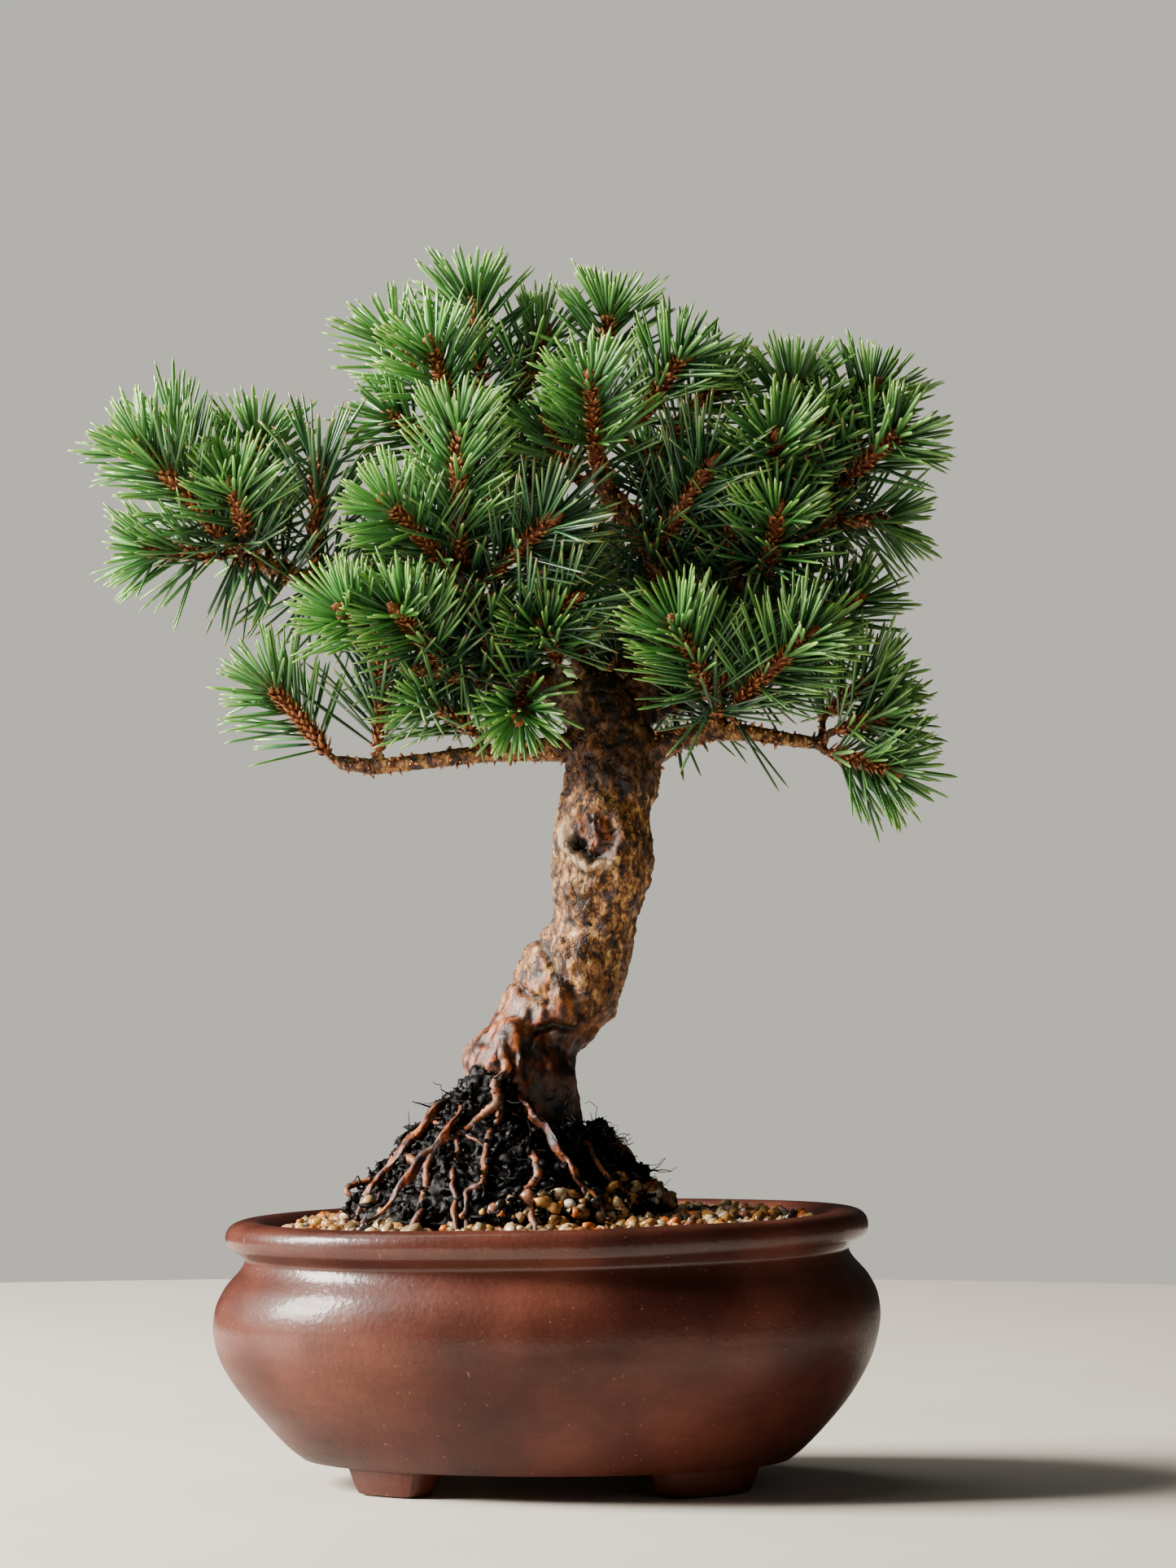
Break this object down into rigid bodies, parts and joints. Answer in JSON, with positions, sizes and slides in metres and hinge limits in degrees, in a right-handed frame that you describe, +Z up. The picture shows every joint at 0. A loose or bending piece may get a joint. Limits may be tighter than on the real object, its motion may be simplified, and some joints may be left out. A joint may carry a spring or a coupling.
{
  "type": "bonsai tree in a pot",
  "caption": "Small pine bonsai with a curved, scarred trunk and tufted needle shoots, planted on a peat mound in an oval footed stoneware pot dressed with grit.",
  "frame": {"origin": "the point on the table under the middle of the whole plant's box; the pot's middle is 8.2 mm to +X of it", "axes": "+Z up the tree, +X along the pot's long axis to the viewer's right, -Y towards the viewer of the tree's front"},
  "size_m": [0.2511, 0.145, 0.3669],
  "materials": {
    "red_brown_stoneware": "satin-glazed red-brown stoneware",
    "drainage_mesh": "moulded plastic mesh",
    "potting_soil": "loose potting soil",
    "black_peat": "wet black peat with fine roots",
    "river_grit": "rounded wet river grit",
    "pine_bark": "flaking pine bark",
    "young_pine_needles": "waxy green needles",
    "old_pine_needles": "waxy dark blue-green needles"
  },
  "bodies": {
    "root": {"drainage_mesh_left": "drainage_mesh", "drainage_mesh_right": "drainage_mesh", "gravel": "river_grit", "old_needles_centre": "old_pine_needles", "old_needles_centre_low": "old_pine_needles", "old_needles_left": "old_pine_needles", "old_needles_low_left": "old_pine_needles", "old_needles_right": "old_pine_needles", "old_needles_right_crown": "old_pine_needles", "pot": "red_brown_stoneware", "potting_soil": "potting_soil", "root_mound": "black_peat", "shoot_apex_front": "young_pine_needles", "shoot_apex_left": "young_pine_needles", "shoot_apex_right": "young_pine_needles", "shoot_apex_right_low": "young_pine_needles", "shoot_apex_top": "young_pine_needles", "shoot_centre_front": "young_pine_needles", "shoot_centre_left": "young_pine_needles", "shoot_crotch": "young_pine_needles", "shoot_crown_front": "young_pine_needles", "shoot_crown_left": "young_pine_needles", "shoot_crown_low_left": "young_pine_needles", "shoot_crown_right": "young_pine_needles", "shoot_crown_top": "young_pine_needles", "shoot_left_end_back": "young_pine_needles", "shoot_left_end_front": "young_pine_needles", "shoot_left_inner": "young_pine_needles", "shoot_left_low": "young_pine_needles", "shoot_left_rear": "young_pine_needles", "shoot_left_top": "young_pine_needles", "shoot_low_left_end": "young_pine_needles", "shoot_low_left_inner": "young_pine_needles", "shoot_low_right_end": "young_pine_needles", "shoot_low_right_front": "young_pine_needles", "shoot_low_right_high": "young_pine_needles", "shoot_low_right_mid": "young_pine_needles", "shoot_low_right_tip": "young_pine_needles", "shoot_low_right_top": "young_pine_needles", "shoot_mid_left": "young_pine_needles", "shoot_mid_left_end": "young_pine_needles", "shoot_mid_left_under": "young_pine_needles", "shoot_right_end": "young_pine_needles", "shoot_right_end_low": "young_pine_needles", "shoot_right_front": "young_pine_needles", "shoot_right_inner": "young_pine_needles", "shoot_right_inner_back": "young_pine_needles", "shoot_right_top": "young_pine_needles", "shoot_right_top_end": "young_pine_needles", "shoot_right_top_left": "young_pine_needles", "spray_back_left": "young_pine_needles", "spray_back_low": "young_pine_needles", "spray_back_middle": "young_pine_needles", "spray_back_right": "young_pine_needles", "spray_back_right_low": "young_pine_needles", "spray_back_top": "young_pine_needles", "spray_right_back": "young_pine_needles", "spray_right_top_back": "young_pine_needles", "tree": "pine_bark"}
  },
  "joints": []
}
